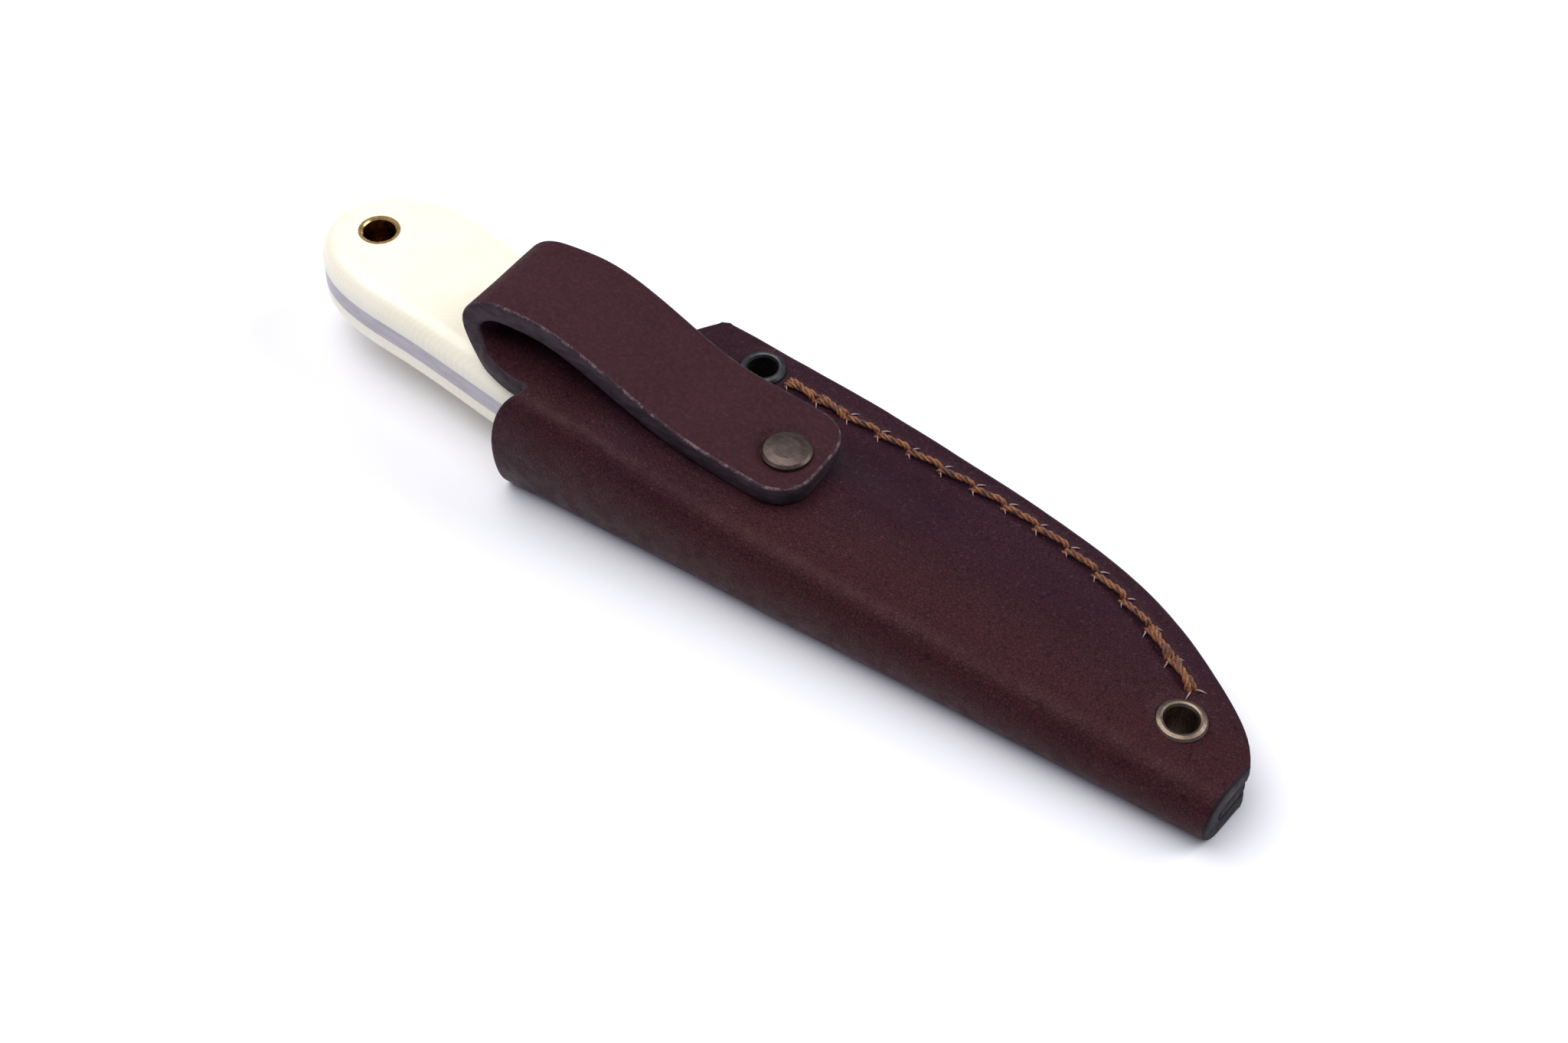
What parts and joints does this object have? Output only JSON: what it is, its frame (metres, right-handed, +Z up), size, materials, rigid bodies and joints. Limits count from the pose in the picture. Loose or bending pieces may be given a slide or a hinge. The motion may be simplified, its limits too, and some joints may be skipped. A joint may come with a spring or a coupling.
{
  "type": "whittling knife with belt sheath",
  "caption": "Small full-tang whittling knife with pale scales, pushed into a folded and stitched leather sheath with a riveted belt loop.",
  "frame": {"origin": "centre of the whole object's footprint on the surface that the sheath's front lies on", "axes": "+Z up, away from the sheath's front; +X along the sheath from the handle's butt to the sheath's tip; +Y towards the stitched edge"},
  "size_m": [0.153, 0.0385, 0.0264],
  "materials": {
    "leather": "waxed, semi-matt",
    "leather_filler": "painted edge",
    "waxed_thread": "waxed",
    "dark_brass": "darkened",
    "antique_brass": "antiqued",
    "blade_steel": "satin",
    "ivory_scale": "polished satin",
    "bright_brass": "polished"
  },
  "bodies": {
    "sheath": {"sheath_leather": "leather", "welt": "leather_filler", "seam_thread": "waxed_thread", "upper_eyelet": "dark_brass", "upper_eyelet_washer": "dark_brass", "lower_eyelet": "antique_brass", "lower_eyelet_washer": "antique_brass", "rivet_cap": "antique_brass", "rivet_base": "antique_brass"},
    "knife": {"blade": "blade_steel", "back_scale": "ivory_scale", "front_scale": "ivory_scale", "lanyard_tube": "bright_brass", "rear_pin": "bright_brass", "front_pin": "bright_brass"}
  },
  "joints": [
    {"name": "knife_draw", "type": "slide", "parent": "sheath", "child": "knife", "axis": [-0.9988, 0, 0.048], "range_m": [0, 0.11]}
  ]
}
